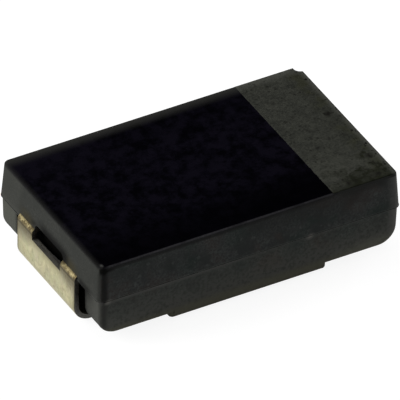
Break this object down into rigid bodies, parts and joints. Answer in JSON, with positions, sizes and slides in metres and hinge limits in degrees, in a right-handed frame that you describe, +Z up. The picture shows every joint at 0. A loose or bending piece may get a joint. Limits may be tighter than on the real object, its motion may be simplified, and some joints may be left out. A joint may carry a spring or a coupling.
{
  "type": "aluminium electrolytic capacitor",
  "caption": "Low moulded surface-mount capacitor: a black case with a pale polarity band on top and flat terminals folded under its two ends.",
  "frame": {"origin": "middle of the outline, in the plane of the solder feet's undersides", "axes": "+X along the case towards the positive terminal and the pale band, +Y across it, +Z up from the board"},
  "size_m": [0.0074, 0.0044, 0.0019],
  "materials": {
    "epoxy": "matt moulded epoxy, darker on the top face, with a pale marked band at the positive end",
    "tinned_sheet": "dull tin plating on a copper alloy sheet, streaked and lightly scratched",
    "anode_foil": "etched, dull grey",
    "resist": "amber insulating resin",
    "polymer": "blue-black conducting polymer",
    "carbon": "dull carbon paste",
    "silver": "silver paste, dull",
    "silver_adhesive": "silver filled adhesive"
  },
  "bodies": {
    "root": {"case": "epoxy", "cathode_lead_frame": "tinned_sheet", "anode_lead_frame": "tinned_sheet", "anode_foil_upper_1": "anode_foil", "resist_band_upper_1": "resist", "polymer_layer_upper_1": "polymer", "carbon_layer_upper_1": "carbon", "silver_layer_upper_1": "silver", "silver_adhesive_upper_1": "silver_adhesive", "anode_foil_upper_2": "anode_foil", "resist_band_upper_2": "resist", "polymer_layer_upper_2": "polymer", "carbon_layer_upper_2": "carbon", "silver_layer_upper_2": "silver", "silver_adhesive_upper_2": "silver_adhesive", "anode_foil_upper_3": "anode_foil", "resist_band_upper_3": "resist", "polymer_layer_upper_3": "polymer", "carbon_layer_upper_3": "carbon", "silver_layer_upper_3": "silver", "silver_adhesive_upper_3": "silver_adhesive", "anode_foil_lower_1": "anode_foil", "resist_band_lower_1": "resist", "polymer_layer_lower_1": "polymer", "carbon_layer_lower_1": "carbon", "silver_layer_lower_1": "silver", "silver_adhesive_lower_1": "silver_adhesive", "anode_foil_lower_2": "anode_foil", "resist_band_lower_2": "resist", "polymer_layer_lower_2": "polymer", "carbon_layer_lower_2": "carbon", "silver_layer_lower_2": "silver", "silver_adhesive_lower_2": "silver_adhesive", "anode_foil_lower_3": "anode_foil", "resist_band_lower_3": "resist", "polymer_layer_lower_3": "polymer", "carbon_layer_lower_3": "carbon", "silver_layer_lower_3": "silver", "silver_adhesive_lower_3": "silver_adhesive"}
  },
  "joints": []
}
